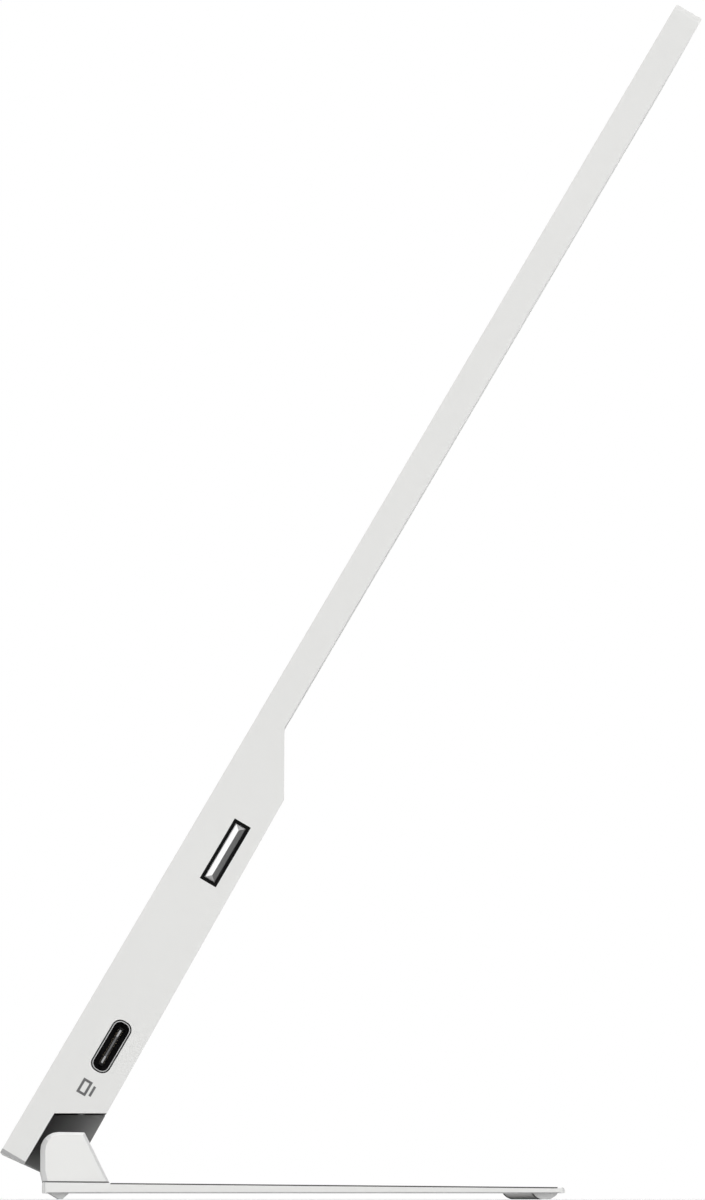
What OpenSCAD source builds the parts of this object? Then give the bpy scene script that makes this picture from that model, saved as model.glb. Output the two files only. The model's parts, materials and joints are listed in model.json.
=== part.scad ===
// Portable monitor standing on its folding foot plate.
// The origin is on the table under the middle of the monitor, the screen looks towards -Y, +Z is up.
// Display pieces are drawn in the display's own frame: X across, v back from the screen face,
// u up along the screen from its lower front edge. Stand pieces are drawn round the hinge axis.

/* [Display] */
// Width of the display and of the foot plate
display_w = 323; // [300:1:350]
// Height of the display, measured along the screen
display_h = 209; // [200:1:230]
// How far the display leans back from upright as it stands
lean = 30.5; // [20:0.5:40]
// Side wall of the housing, seen from the front as a rim round the screen frame
rim_t = 1.0; // [0.8:0.05:1.3]
// Skin of the housing behind the screen
skin_t = 1.0; // [0.8:0.05:1.5]
// Height of the bevel across the lower corners of the housing
lower_bevel = 0.75; // [0.4:0.05:1.2]
// How far that bevel runs in from the side
lower_bevel_run = 1.5; // [0.6:0.1:2]
// Radius of the upper corners of the housing
upper_r = 1.0; // [0.4:0.1:2.5]
// Small radius along the edges of the housing
edge_r = 0.25; // [0.1:0.05:0.5]

/* [Screen] */
// Distance from each side of the display to the picture
side_border = 6.8; // [4.5:0.1:12]
// Distance from the top of the display to the picture
top_border = 7.5; // [5:0.5:12]
// Distance from the bottom of the display to the picture
chin = 27.5; // [26:0.5:34]
// Glass of the panel beside the picture
cell_side = 1.8; // [1:0.1:3]
// Glass of the panel above the picture
cell_head = 2.5; // [1.5:0.1:4]
// Glass of the panel below the picture, where its drivers sit
cell_foot = 5.5; // [4:0.1:7]
// How far the screen frame lies below the rim
frame_inset = 0.1; // [0.05:0.05:0.3]
// Thickness of the screen frame
frame_t = 0.6; // [0.4:0.05:0.9]
// Picture edge to the edge of the frame's window
window_margin = 0.3; // [0.1:0.1:0.8]
// Thickness of the panel glass
cell_t = 0.7; // [0.5:0.05:1]
// Thickness of the stack of optical sheets
sheet_t = 0.25; // [0.15:0.05:0.4]
// Thickness of the light guide
guide_t = 0.45; // [0.3:0.05:0.7]
// Sheet thickness of the panel tray
tray_t = 0.3; // [0.2:0.05:0.5]
// Thickness of the tape that holds the tray
tape_t = 0.35; // [0.2:0.05:0.5]
// Sheet thickness of the chassis plate
chassis_t = 0.5; // [0.4:0.05:0.8]
// Play between layers that lie on each other
layer_gap = 0.05; // [0.02:0.01:0.1]

/* [Electronics hump] */
// How far the hump stands out behind the slab, at the lower edge of the display
hump_depth = 6.94; // [6.6:0.02:8]
// Height at which the sloping end of the hump meets the slab
hump_top = 80; // [76:0.5:95]
// Taper of the back of the hump
hump_taper = 1.02; // [0:0.02:2]
// Slope of the upper end of the hump
end_slope = 30.1; // [20:0.1:45]
// Wall of the hump
hump_wall = 1.2; // [1:0.05:1.4]

/* [Vents] */
// Number of vent slots in each group on the sloping end of the hump
vent_n = 14; // [6:1:20]
// Distance from slot to slot
vent_pitch = 3; // [2.4:0.1:5]
// Width of a slot
vent_w = 1.3; // [0.8:0.1:2]
// Length of a slot
vent_len = 6; // [3:0.5:8]
// Middle of each group, from the middle of the display
vent_at = 92; // [60:1:120]

/* [Hinge notch] */
// Thickness of the lip in front of the notch
lip_t = 4.2; // [4:0.05:4.4]
// Height of the notch at the lip
notch_h = 9.6; // [9:0.1:12]
// Slope of the upper side of the notch
notch_slope = 30.5; // [20:0.5:35]
// Slope of the display's lower side
lower_tilt = 6.1; // [4:0.1:8]

/* [Hinge] */
// Height of the hinge axis above the lower front edge
axis_u = 3.95; // [3.7:0.05:4.3]
// Distance of the hinge axis from the back of the hump
axis_inset = 2.42; // [2.35:0.01:2.7]
// Diameter of the hinge shaft
shaft_d = 2.0; // [1.6:0.05:2.2]
// Outer diameter of the hinge barrel
barrel_d = 3.0; // [2.8:0.05:3.2]
// Length of the hinge barrel
barrel_len = 14; // [10:0.5:20]
// Radial play of the shaft in the barrel
running_gap = 0.03; // [0.01:0.01:0.08]
// Radial play of the shaft's flatted end in the arm
press_gap = 0.01; // [0.005:0.005:0.02]
// Thickness of the hinge leaf
leaf_t = 0.8; // [0.6:0.05:1]
// Height to which the hinge leaf reaches
leaf_top = 30; // [26:0.5:36]
// Solid end of the arm outside the shaft
shaft_cover = 3.5; // [2:0.5:6]
// Number of friction washers on each shaft
washer_n = 3; // [2:1:5]
// Thickness of a friction washer
washer_t = 0.4; // [0.3:0.05:0.6]
// Diameter of a friction washer
washer_d = 2.8; // [2.6:0.05:3]
// Thickness of the hinge nut
nut_t = 1.6; // [1:0.1:2.5]
// Wall of the hinge cover
cover_wall = 0.75; // [0.6:0.05:0.85]
// Radius of the hinge cover's heel
heel_r = 2.2; // [2.1:0.05:2.3]
// Gap between the hinge cover and the upper side of the notch
cover_top_gap = 0.25; // [0.1:0.05:0.4]

/* [Foot plate] */
// Length of the foot plate from front to back
plate_len = 81.9; // [78:0.5:100]
// Distance of the plate's front edge before the hinge axis
plate_front = 3.15; // [2.8:0.05:3.4]
// Thickness of the plate at its front edge
plate_t = 1.7; // [1.4:0.05:2.5]
// Thickness of the plate at its rear edge
plate_tip_t = 0.94; // [0.8:0.02:1.3]
// Gap under the upright display at the plate's front edge
upright_gap = 0.18; // [0.12:0.02:0.5]
// Corner radius of the plate, seen from above
plate_r = 1.0; // [0.3:0.1:3]
// Bevel along the plate's edges
plate_bevel = 0.18; // [0.1:0.02:0.3]
// Thickness of the mat on the plate
mat_t = 0.18; // [0.1:0.02:0.4]
// Bare strip of plate behind the mat
mat_tip = 1.25; // [0.8:0.05:4]

/* [Hinge arms] */
// Width of each arm
arm_w = 16; // [12:0.5:24]
// Distance of the arm's front face before the hinge axis
arm_front = 3.5; // [3.3:0.05:3.6]
// Radius of the arm's upper front corner
arm_r = 2.8; // [2.6:0.05:2.95]
// Gap between the arm's round corner and the lip as the display turns
arm_gap = 0.28; // [0.15:0.01:0.4]
// Rear end of the arm's top, behind the hinge axis
arm_top_rear = 3.45; // [3:0.05:4]
// Rear end of the arm's foot, behind the hinge axis
arm_foot_rear = 7.35; // [6.5:0.05:10]
// Gap between an arm and the end of the hinge cover
arm_side_gap = 0.4; // [0.3:0.05:0.8]
// Bevel along the arm's outer edge
arm_bevel = 0.42; // [0.2:0.02:0.8]
// Wider bevel down the arm's front edge
arm_front_bevel = 0.8; // [0.4:0.05:1.2]
// Depth of the shadow groove along the foot of an arm
seam = 0.7; // [0.2:0.05:0.9]
// Height of that groove
seam_h = 0.2; // [0.1:0.01:0.25]

/* [Rubber feet] */
// Height of the rubber feet
foot_h = 0.97; // [0.8:0.01:2]
// Width of the front foot strip
front_foot_w = 3.2; // [2.6:0.1:4.4]
// Centre of the front foot strip behind the plate's front edge
front_foot_at = 2.55; // [2.4:0.05:6]
// Width of the rear foot strip
rear_foot_w = 3.84; // [2.8:0.02:6]
// Centre of the rear foot strip before the plate's rear edge
rear_foot_at = 3.1; // [3.1:0.1:8]
// Level underside of the front foot strip
front_foot_flat = 0.5; // [0.3:0.1:2]
// How far the ridge of the front foot strip lies behind its middle
front_foot_lean = 0.29; // [0:0.01:0.6]
// Level underside of the rear foot strip
rear_foot_flat = 1.0; // [0.6:0.1:2]
// Foot strip end to the side of the plate
foot_end = 1.0; // [0.6:0.2:30]

/* [USB-C ports] */
// Height of the ports along the screen
usb_u = 23.15; // [20:0.05:26]
// Width of a port's opening
usb_w = 8.34; // [8.3:0.01:8.5]
// Height of a port's opening
usb_h = 2.56; // [2.5:0.01:2.7]
// Corner radius of a port's opening
usb_corner = 1.05; // [0.8:0.05:1.25]
// Wall of a port's shell
usb_shell_t = 0.2; // [0.15:0.05:0.35]
// Length of a port's shell
usb_len = 7.35; // [6.8:0.05:8.5]
// Gap between a port's shell and the housing
usb_gap = 0.15; // [0.08:0.01:0.26]
// Width of a port's tongue
tongue_w = 6.69; // [6.4:0.01:6.8]
// Thickness of a port's tongue
tongue_t = 0.7; // [0.6:0.02:0.8]
// Tongue tip behind the mouth of the port
tongue_inset = 0.9; // [0.6:0.05:1.5]

/* [Side keys] */
// Height of the keys along the screen
key_u = 58.35; // [50:0.05:60]
// Length of a key
key_len = 9.55; // [8:0.05:14]
// Width of a key
key_w = 1.62; // [1.4:0.01:2.2]
// How far a key's ridge stands out of the housing
key_proud = 0.5; // [0.45:0.05:0.8]
// How far a key's edges lie below the housing
key_sunk = 0.1; // [0.05:0.05:0.2]
// Travel of a key
key_travel = 0.4; // [0.2:0.05:0.45]
// Gap round a key
key_gap = 0.12; // [0.1:0.01:0.2]
// Width of the trim frame round a key
trim_w = 0.5; // [0.25:0.01:0.6]

/* [Circuit boards] */
// Thickness of the boards
board_t = 0.8; // [0.6:0.05:1]
// Height of the pads that carry the boards
pad_h = 0.75; // [0.5:0.05:0.9]
// Lower edge of the boards along the screen
board_low = 14; // [13:0.5:15]
// Height of the boards
board_h = 47.8; // [46.5:0.1:48.5]
// Length of the main board
main_board_len = 118.5; // [100:0.5:125]
// Length of the port board
port_board_len = 42.5; // [36:0.5:60]
// Outer edge of the boards inside the side of the display
board_edge = 3.0; // [2.9:0.05:3.4]
// Width of the timing board in front of the chassis
timing_w = 130; // [100:1:200]
// Height of the timing board
timing_h = 8.4; // [7:0.1:9]
// Width of the panel cable
cable_w = 5; // [3:0.5:6]

/* [Fasteners] */
// Diameter of the screws
screw_d = 1.6; // [1.4:0.05:1.8]
// Diameter of a pan head
head_d = 3.2; // [2.8:0.1:3.6]
// Height of a pan head
head_h = 0.9; // [0.6:0.05:1.1]
// Diameter of a countersunk head
sunk_d = 3.4; // [3:0.1:3.8]
// Outer diameter of the screw bosses
boss_d = 4.4; // [4:0.1:5]

/* [Hidden] */

// Colours, as red, green and blue
pale_shell = [0.89, 0.89, 0.88];
pale_stand = [0.91, 0.91, 0.90];
dark_grey = [0.27, 0.27, 0.27];
mat_grey = [0.35, 0.35, 0.35];
foot_grey = [0.68, 0.68, 0.66];
frame_black = [0.05, 0.05, 0.05];
steel = [0.68, 0.69, 0.70];
board_green = [0.10, 0.30, 0.20];
chip_black = [0.09, 0.09, 0.10];
flex_amber = [0.60, 0.36, 0.12];

// Facets of a rounded outline corner, and of a full circle
arc_n = 5;
$fn = 48;
// Overrun of a cut past the face that it opens
cut = 1;

// Places through the thickness of the display, from the screen face back
cell_v = frame_inset + frame_t + layer_gap;
sheet_v = cell_v + cell_t + layer_gap;
guide_v = sheet_v + sheet_t + layer_gap;
tray_v = guide_v + guide_t + layer_gap;
tape_v = tray_v + tray_t;
chassis_v = tape_v + tape_t + layer_gap;
chassis_back = chassis_v + chassis_t;
skin_v = chassis_back + 2 * layer_gap;
slab_t = skin_v + skin_t;
hump_v = slab_t + hump_depth;
board_v = chassis_back + pad_h;
board_back = board_v + board_t;
part_v = board_back + layer_gap;

// Hinge axis in the display, and the display's place in the world
axis_v = hump_v - axis_u * tan(hump_taper) - axis_inset;
axis_low = (axis_u - axis_v * tan(lower_tilt)) * cos(lower_tilt);
axis_rise = axis_low / cos(lower_tilt) + plate_front * tan(lower_tilt) + upright_gap;
axis_z = foot_h + plate_t + axis_rise;
axis_y = -((display_h - 2 * axis_u) * sin(lean) + (slab_t - 2 * axis_v) * cos(lean)) / 2;
side = display_w / 2;

// Lines, [point, heading] with the solid on the left, that bound the display seen from its side
lower_line = [[0, 0], lower_tilt];
lip_line = [[lip_t, 0], 90];
notch_line = [[lip_t, notch_h], notch_slope];
back_line = [[hump_v, 0], 90 + hump_taper];
end_line = [[slab_t, hump_top], 90 + end_slope];
slab_line = [[slab_t, 0], 90];
top_line = [[0, display_h], 180];
front_line = [[0, 0], 270];

// Foot plate, hinge arms and cover
mat_front = arm_foot_rear + 0.2;
mat_side = 0.05;
plate_slope = atan((plate_t - plate_tip_t) / plate_len);
plate_rear = plate_len - plate_front;
arm_reach = axis_v - lip_t - arm_gap;
arm_top = arm_r + sqrt(pow(arm_reach - arm_r, 2) - pow(arm_front - arm_r, 2));
bar_half = side - arm_w - arm_side_gap;
bar_end_t = 0.8;
barrel_out = bar_half - bar_end_t - 2 * layer_gap;
barrel_in = barrel_out - barrel_len;
washer_in = barrel_in - washer_n * (washer_t + layer_gap);
nut_in = washer_in - layer_gap - nut_t;
shaft_in = nut_in - 0.6;
shaft_out = side - shaft_cover;
leaf_v = axis_v - barrel_d / 2;
leaf_screw_x = (barrel_in + barrel_out) / 2;
leaf_screw_span = 4;
leaf_screw_u = leaf_top - 3.5;

// Panel outline
active_w = display_w - 2 * side_border;
picture_top = display_h - top_border;
picture_low = chin;
cell_top = picture_top + cell_head;
cell_low = picture_low - cell_foot;
cell_half = active_w / 2 + cell_side;
led_h = 1.2;
tape_w = 6;
tape_margin = 8;
chassis_low = notch_u(skin_v, hump_wall) + 1.6;

// Ports and keys
usb_v = part_v + usb_shell_t + usb_h / 2;
key_v = usb_v;
usb_face = side - 0.1;
board_out = side - board_edge;
wall_in = side - rim_t;
trim_face = side - 0.2;
trim_back = wall_in - 1.0;
flange_t = 0.45;
plunger_len = 2.2;
switch_face = board_out - 0.6;
switch_depth = 2.3;

// Board details
main_board_in = board_out - main_board_len;
port_board_in = board_out - port_board_len;
cable_x = main_board_in - 4;
timing_out = cable_x - 6;
timing_in = timing_out - timing_w;
timing_low = chassis_low + 0.3;
timing_t = 0.6;
timing_v = chassis_v - layer_gap - timing_t;
cable_u = board_low + 1.5 + cable_w / 2;
cable_t = 0.2;
link_u = board_low + board_h * 0.55;
link_w = 8;
connector_h = 1.0;
upper_boss_u = board_low + board_h + boss_d / 2 + 0.6;
lower_boss_u = cell_low + head_d / 2 + 0.9;
upper_boss_x = cell_half - tape_margin - tape_w / 2 - head_d / 2 - 0.9;
upper_bosses = [-1, -0.5, 0, 0.5, 1] * upper_boss_x;
// Bosses in the free stretch between the two boards
lower_bosses = [for (k = [0.16, 0.55, 0.88]) k * (port_board_in + main_board_in) - port_board_in];

// Vector helpers and outline corners
function heading(a) = [cos(a), sin(a)];
function cross2(a, b) = a.x * b.y - a.y * b.x;
function unit(v) = v / norm(v);
function inward(l, w) = [l[0] + w * [-sin(l[1]), cos(l[1])], l[1]];
function back_to_front(l) = [l[0], l[1] + 180];
function meet(l, m) =
    l[0] + heading(l[1]) * cross2(m[0] - l[0], heading(m[1])) / cross2(heading(l[1]), heading(m[1]));
function corners(ls) = [for (i = [0:len(ls) - 1]) meet(ls[i], ls[(i + 1) % len(ls)])];

// Arc of radius r that replaces corner b between a and c
function arc_at(a, b, c, r) =
    let (
        p = unit(a - b),
        q = unit(c - b),
        half = acos(p * q) / 2,
        mid = b + unit(p + q) * r / sin(half),
        from = b + p * r / tan(half) - mid,
        turn = (180 - 2 * half) * sign(cross2(b - a, c - b)),
        start = atan2(from.y, from.x)
    )
    [for (i = [0:arc_n]) mid + r * heading(start + turn * i / arc_n)];

// Outline with each corner rounded by its own radius, 0 for a sharp one
function rounded(pts, radii) =
    let (n = len(pts))
    [for (i = [0:n - 1]) each (radii[i] > 0
        ? arc_at(pts[(i + n - 1) % n], pts[i], pts[(i + 1) % n], radii[i])
        : [pts[i]])];

// Height of the notch's upper side at depth v, raised by wall w
function notch_u(v, w) = notch_h + (v - lip_t) * tan(notch_slope) + w / cos(notch_slope);
// Depth of the hump's back at height u, less wall w
function back_v(u, w) = hump_v - u * tan(hump_taper) - w / cos(hump_taper);
// Height of the plate's upper face above the hinge axis, at distance y behind it
function plate_top(y) = -axis_rise - (y + plate_front) * tan(plate_slope);

// Side views of the housing, outside and inside
housing_outline = rounded(
    corners([front_line, lower_line, lip_line, notch_line, back_line, end_line, slab_line, top_line]),
    [0, 0, 0, 0, edge_r, edge_r, edge_r, edge_r]);
housing_inside = corners([
    inward(front_line, -cut), inward(lower_line, rim_t), inward(lip_line, skin_t),
    inward(notch_line, hump_wall), inward(back_line, hump_wall), inward(end_line, hump_wall),
    inward(slab_line, skin_t), inward(top_line, rim_t)]);
// Side views of the hinge cover, outside and inside
cover_outline = rounded(
    corners([
        inward(back_to_front(lip_line), 2 * layer_gap), lower_line, back_line,
        inward(back_to_front(notch_line), cover_top_gap)]),
    [0, heel_r, 0.15, 0]);
cover_inside = rounded(
    corners([
        inward(back_to_front(lip_line), -cut), inward(lower_line, cover_wall),
        inward(back_line, cover_wall),
        inward(back_to_front(notch_line), cover_top_gap + cover_wall)]),
    [0, heel_r - cover_wall, 0, 0]);

// Carries the display's frame to its leaning place on the hinge axis
module in_display() {
    translate([0, axis_y, axis_z])
        rotate([-lean, 0, 0])
            translate([0, -axis_v, -axis_u])
                children();
}

// Carries pieces drawn round the hinge axis to their place
module in_stand() {
    translate([0, axis_y, axis_z]) children();
}

// Pulls a side view along X from x0 to x1
module across(x0, x1) {
    translate([x0, 0, 0]) rotate([90, 0, 90]) linear_extrude(height = x1 - x0) children();
}

// Pulls a front view back from depth v0 by t
module layer(v0, t) {
    translate([0, v0 + t, 0]) rotate([90, 0, 0]) linear_extrude(height = t) children();
}

// Both a piece and its mirror image
module both_sides() {
    children();
    mirror([1, 0, 0]) children();
}

module on_left() {
    mirror([1, 0, 0]) children();
}

// Flat rectangle from one corner to the other
module rect(x0, x1, y0, y1) {
    translate([x0, y0]) square([x1 - x0, y1 - y0]);
}

// Rectangle with half-round ends, long side along the second axis
module stadium(w, h) {
    square([h, w - h], center = true);
    for (s = [-1, 1]) translate([0, s * (w - h) / 2]) circle(d = h);
}

// Outline of a port's opening, made larger by e all round
module port_outline(e) {
    half_h = usb_h / 2 + e;
    half_w = usb_w / 2 + e;
    r = usb_corner + e;
    square([2 * half_h, 2 * (half_w - r)], center = true);
    square([2 * (half_h - r), 2 * half_w], center = true);
    for (i = [-1, 1], j = [-1, 1])
        translate([i * (half_h - r), j * (half_w - r)]) circle(r = r);
}

// Cylinder from depth v0 by h, at x and u
module post(x, u, v0, h, d) {
    translate([x, v0, u]) rotate([-90, 0, 0]) cylinder(d = d, h = h);
}

// Cylinder round the hinge axis from x0 to x1
module rod(x0, x1, d) {
    translate([x0, 0, 0]) rotate([0, 90, 0]) cylinder(d = d, h = x1 - x0);
}

// ---------- foot plate and hinge arms ----------

foot_plate_low = -axis_rise - plate_t;

module plate_blank() {
    intersection() {
        across(-side, side)
            polygon(rounded(
                [[-plate_front, foot_plate_low], [plate_rear, foot_plate_low],
                 [plate_rear, foot_plate_low + plate_tip_t], [-plate_front, -axis_rise]],
                [plate_bevel, plate_bevel, plate_tip_t * 0.6, plate_bevel]));
        translate([0, 0, foot_plate_low - cut])
            linear_extrude(height = plate_t + 2 * cut)
                polygon(rounded(
                    [[-side, -plate_front], [side, -plate_front], [side, plate_rear], [-side, plate_rear]],
                    [plate_r, plate_r, plate_r, plate_r]));
    }
}

arm_screw_y = (arm_top_rear + 1.6) * 0.85;
arm_screw_xs = [side - arm_w / 2 - 4.5, side - arm_w / 2 + 4.5];
arm_screw_len = 4.6;

module at_arm_screws() {
    both_sides()
        for (x = arm_screw_xs) translate([x, arm_screw_y, foot_plate_low]) children();
}

module base_plate() {
    sink_d = sunk_d + 0.1;
    color(pale_stand) in_stand() difference() {
        plate_blank();
        // bevel along the two side edges, above and below
        both_sides() {
            translate([side, -plate_front, -axis_rise])
                rotate([-plate_slope, 0, 0])
                    rotate([0, 45, 0])
                        cube([plate_bevel * sqrt(2), 3 * plate_len, plate_bevel * sqrt(2)], center = true);
            translate([side, 0, foot_plate_low])
                rotate([0, 45, 0])
                    cube([plate_bevel * sqrt(2), 3 * plate_len, plate_bevel * sqrt(2)], center = true);
        }
        // recess of the mat, open at both sides
        across(-side - cut, side + cut) mat_band(mat_t + 0.01, layer_gap, cut);
        at_arm_screws() {
            translate([0, 0, -cut]) cylinder(d = screw_d + 0.2, h = plate_t + 2 * cut);
            translate([0, 0, -0.01]) cylinder(d1 = sink_d, d2 = screw_d, h = (sink_d - screw_d) / 2);
        }
    }
}

// Band of the given depth under the plate's upper face, where the mat lies flush, with play at both ends
module mat_band(depth, play, height) {
    first = mat_front - play;
    last = plate_rear - mat_tip + play;
    polygon([
        [first, plate_top(first) - depth], [last, plate_top(last) - depth],
        [last, plate_top(last) + height], [first, plate_top(first) + height]]);
}

module base_mat() {
    color(mat_grey) in_stand() across(-side + mat_side, side - mat_side) mat_band(mat_t, 0, 0);
}

// Round profile with one flat, which keeps the shaft from turning in the arm
module flatted(d) {
    intersection() {
        circle(d = d);
        rect(-d, d, -d, d * 0.32);
    }
}

arm_toe = plate_front - 0.05;

// Side view of an arm, from its toe along its foot, up its rear slope and back down its front
arm_profile = rounded(
    [[-arm_toe, plate_top(-arm_toe)], [arm_foot_rear, plate_top(arm_foot_rear)],
     [arm_top_rear, arm_top - 0.1], [-arm_front, arm_top], [-arm_front, -arm_front * 0.5]],
    [0, 0, 0.3, arm_r, 0]);

// Bevel of size b along the arm's outer side, from side view point p to q
module arm_edge_cut(p, q, b) {
    translate([side, p.x, p.y])
        rotate([atan2(q.y - p.y, q.x - p.x), 0, 0])
            rotate([0, 45, 0])
                cube([b * sqrt(2), 4 * norm(q - p), b * sqrt(2)], center = true);
}

// Arm with its outer edge bevelled, all but the foot and the small corner at the top rear
module bevelled_arm() {
    difference() {
        across(side - arm_w, side) polygon(arm_profile);
        for (i = [1:len(arm_profile) - 1]) {
            p = arm_profile[i];
            q = arm_profile[(i + 1) % len(arm_profile)];
            // the bevel grows from the top round to the front
            b = arm_bevel + (arm_front_bevel - arm_bevel) * max(0, -unit(q - p).y);
            if (norm(q - p) > arm_bevel) arm_edge_cut(p, q, b);
        }
    }
}

module hinge_arm() {
    in_stand() difference() {
        bevelled_arm();
        // shadow groove where the arm meets the plate
        translate([side, 0, -axis_rise])
            rotate([-plate_slope, 0, 0])
                cube([2 * seam, 4 * arm_foot_rear, 2 * seam_h], center = true);
        // socket of the shaft
        translate([side - arm_w - cut, 0, 0])
            rotate([90, 0, 90])
                linear_extrude(height = arm_w + cut - shaft_cover)
                    flatted(shaft_d + 2 * press_gap);
        at_arm_screws() cylinder(d = screw_d, h = plate_t + arm_screw_len);
    }
}

module hinge_arm_right() {
    color(pale_stand) hinge_arm();
}

module hinge_arm_left() {
    color(pale_stand) on_left() hinge_arm();
}

module arm_screws() {
    color(steel) in_stand() at_arm_screws() {
        translate([0, 0, 0.02]) cylinder(d1 = sunk_d, d2 = screw_d, h = (sunk_d - screw_d) / 2);
        cylinder(d = screw_d, h = arm_screw_len);
    }
}

// ---------- hinge ----------

module hinge_shaft() {
    in_stand() {
        rod(shaft_in, side - arm_w - layer_gap, shaft_d);
        across(side - arm_w - layer_gap, shaft_out) flatted(shaft_d);
    }
}

module hinge_shaft_right() {
    color(steel) hinge_shaft();
}

module hinge_shaft_left() {
    color(steel) on_left() hinge_shaft();
}

module friction_washers() {
    in_stand()
        for (i = [0:washer_n - 1])
            translate([washer_in + i * (washer_t + layer_gap), 0, 0])
                difference() {
                    rod(0, washer_t, washer_d);
                    rod(-cut, washer_t + cut, shaft_d + 2 * running_gap);
                }
}

module friction_washers_right() {
    color(steel) friction_washers();
}

module friction_washers_left() {
    color(steel) on_left() friction_washers();
}

module hinge_nut() {
    in_stand() difference() {
        translate([nut_in, 0, 0]) rotate([0, 90, 0]) cylinder(d = washer_d, h = nut_t, $fn = 6);
        rod(nut_in - cut, nut_in + nut_t + cut, shaft_d + 2 * press_gap);
    }
}

module hinge_nut_right() {
    color(steel) hinge_nut();
}

module hinge_nut_left() {
    color(steel) on_left() hinge_nut();
}

// Cut that lets a hinge leaf through a wall of the notch
module leaf_slot() {
    both_sides()
        translate([barrel_in - 0.3, leaf_v - 0.2, axis_u + barrel_d / 2])
            cube([barrel_len + 0.6, leaf_t + 0.4, notch_h]);
}

module at_leaf_screws() {
    both_sides()
        for (s = [-1, 1]) translate([leaf_screw_x + s * leaf_screw_span, 0, leaf_screw_u]) children();
}

// Leaf rolled round the shaft into a barrel, with the slit where the roll ends
module hinge_bracket() {
    in_display() difference() {
        union() {
            translate([0, axis_v, axis_u]) rod(barrel_in, barrel_out, barrel_d);
            translate([barrel_in, leaf_v, axis_u])
                cube([barrel_len, leaf_t, leaf_top - axis_u]);
        }
        translate([0, axis_v, axis_u])
            rod(barrel_in - cut, barrel_out + cut, shaft_d + 2 * running_gap);
        translate([barrel_in - cut, leaf_v + leaf_t, axis_u + shaft_d / 2])
            cube([barrel_len + 2 * cut, 0.25, barrel_d]);
        for (s = [-1, 1])
            translate([leaf_screw_x + s * leaf_screw_span, 0, leaf_screw_u])
                post(0, 0, leaf_v - cut, leaf_t + 2 * cut, screw_d + 0.2);
    }
}

module hinge_bracket_right() {
    color(steel) hinge_bracket();
}

module hinge_bracket_left() {
    color(steel) on_left() hinge_bracket();
}

// Pan-head screw whose head lies behind depth v0, with its thread running forward
module pan_screw(x, u, v0, length) {
    post(x, u, v0, head_h, head_d);
    post(x, u, v0 - length, length, screw_d);
}

module hinge_screws() {
    color(steel) in_display() at_leaf_screws() pan_screw(0, 0, leaf_v + leaf_t, 4);
}

cover_rib_t = 0.9;
cover_bays = 6;
hinge_bay_in = shaft_in - 2;

module hinge_cover() {
    color(dark_grey) in_display() difference() {
        across(-bar_half, bar_half) polygon(cover_outline);
        both_sides() across(hinge_bay_in, bar_half - bar_end_t) polygon(cover_inside);
        // bays between ribs along the middle
        for (i = [0:cover_bays - 1]) {
            bay = (2 * (hinge_bay_in - cover_rib_t) + cover_rib_t) / cover_bays;
            x = -(hinge_bay_in - cover_rib_t) + i * bay;
            across(x, x + bay - cover_rib_t) polygon(cover_inside);
        }
        both_sides() translate([0, axis_v, axis_u]) rod(shaft_in, side, shaft_d + 0.5);
        leaf_slot();
    }
}

// ---------- housing ----------

chin_rib_t = 0.8;
chin_rib_n = 9;

// Rib in the channel behind the frame's chin
module chin_rib(x) {
    across(x - chin_rib_t / 2, x + chin_rib_t / 2)
        polygon(corners([
            [[cell_v, 0], 270], inward(lower_line, rim_t / 2), inward(lip_line, skin_t / 2),
            [[0, chassis_low - 1.2], 180]]));
}

// Places of the screw bosses, as [x, u]
boss_places = concat(
    [for (x = upper_bosses) [x, upper_boss_u]], [for (x = lower_bosses) [x, lower_boss_u]]);

// Round pieces of depth h behind v0 at every screw boss
module at_bosses(v0, h, d) {
    for (p = boss_places) post(p.x, p.y, v0, h, d);
}

// Bosses that grow out of the hump's back wall up to the chassis
module cover_bosses() {
    boss_v = chassis_back + layer_gap;
    for (p = boss_places) post(p.x, p.y, boss_v, back_v(p.y, hump_wall / 2) - boss_v, boss_d);
}

// Vent slots through the sloping end of the hump
module vents() {
    middle = (meet(back_line, end_line) + meet(end_line, slab_line)) / 2;
    first = vent_at - (vent_n - 1) / 2 * vent_pitch;
    both_sides()
        for (i = [0:vent_n - 1])
            translate([first + i * vent_pitch, middle.x, middle.y])
                rotate([end_slope, 0, 0])
                    layer(-2 * hump_wall, 4 * hump_wall) stadium(vent_len, vent_w, $fn = 16);
}

module rear_cover() {
    color(pale_shell) in_display() difference() {
        union() {
            difference() {
                intersection() {
                    across(-side, side) polygon(housing_outline);
                    layer(-cut, hump_v + 2 * cut)
                        polygon(rounded(
                            [[-side + lower_bevel_run, 0], [side - lower_bevel_run, 0], [side, lower_bevel],
                             [side, display_h], [-side, display_h], [-side, lower_bevel]],
                            [0, 0, 0, upper_r, upper_r, 0]));
                }
                across(-wall_in, wall_in) polygon(housing_inside);
            }
            for (i = [0:chin_rib_n - 1])
                chin_rib((i / (chin_rib_n - 1) - 0.5) * (display_w - 12 * rim_t));
            cover_bosses();
        }
        at_bosses(chassis_back, 4.5, screw_d);
        both_sides() {
            across(wall_in - cut, side + cut)
                translate([usb_v, usb_u]) port_outline(usb_shell_t + usb_gap);
            across(wall_in - cut, side + cut)
                translate([key_v, key_u])
                    square([trim_out_w + 0.06, trim_out_l + 0.06], center = true);
        }
        leaf_slot();
        vents();
    }
}

// ---------- screen ----------

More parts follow.
